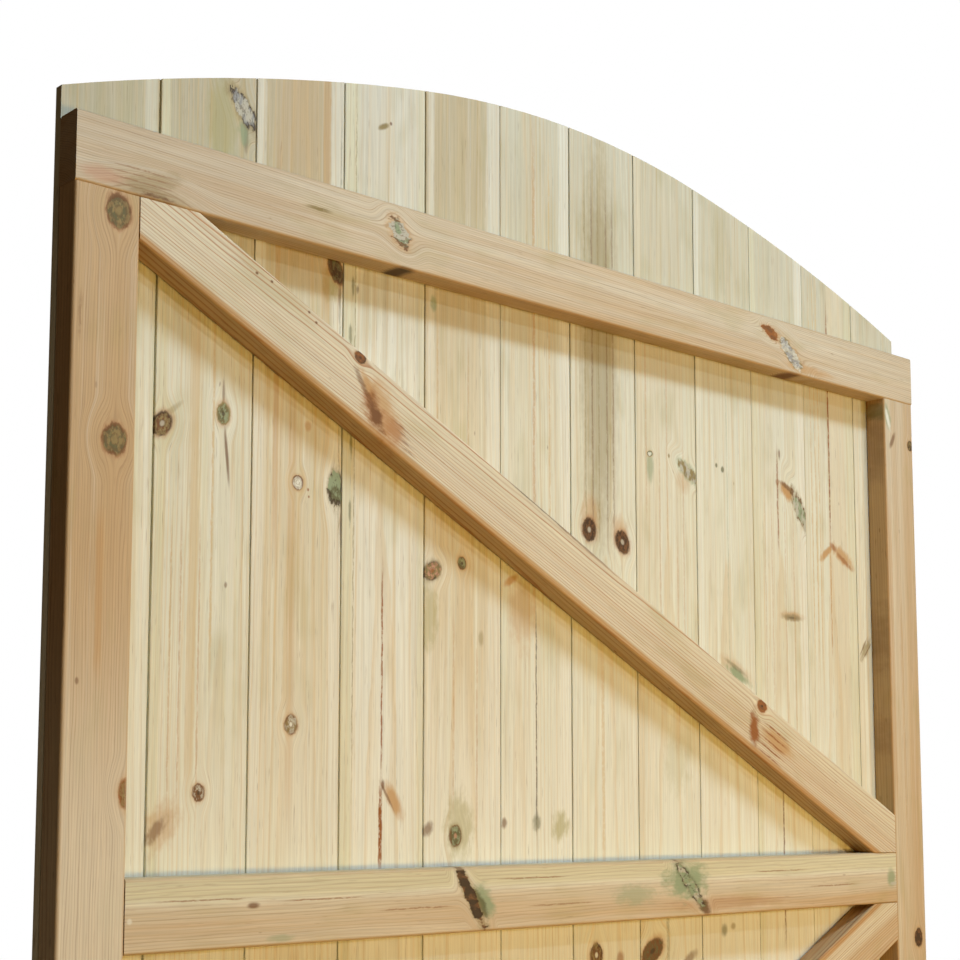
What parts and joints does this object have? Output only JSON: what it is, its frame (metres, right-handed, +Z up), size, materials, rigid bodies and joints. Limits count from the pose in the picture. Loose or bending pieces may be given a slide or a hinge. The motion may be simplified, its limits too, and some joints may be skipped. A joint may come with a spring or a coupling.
{
  "type": "arch top garden gate leaf",
  "caption": "Arch top boarded garden gate leaf with stiles, rails and diagonal braces behind tongue-and-groove boards, to hang on a post.",
  "frame": {"origin": "on the hanging stile's outer edge, half way through its depth and half way up the middle rail", "axes": "+X across the gate from the hanging stile to the closing stile, +Y from the frame side to the boarded side, +Z up"},
  "size_m": [1.33, 0.041, 1.637],
  "materials": {
    "frame_timber": "planed, pressure treated, unpainted",
    "board_timber": "planed, pressure treated, unpainted"
  },
  "bodies": {
    "root": {"hanging_stile": "frame_timber", "closing_stile": "frame_timber", "top_rail": "frame_timber", "middle_rail": "frame_timber", "bottom_rail": "frame_timber", "upper_brace": "frame_timber", "lower_brace": "frame_timber", "board_01": "board_timber", "board_02": "board_timber", "board_03": "board_timber", "board_04": "board_timber", "board_05": "board_timber", "board_06": "board_timber", "board_07": "board_timber", "board_08": "board_timber", "board_09": "board_timber", "board_10": "board_timber", "board_11": "board_timber", "board_12": "board_timber"}
  },
  "joints": []
}
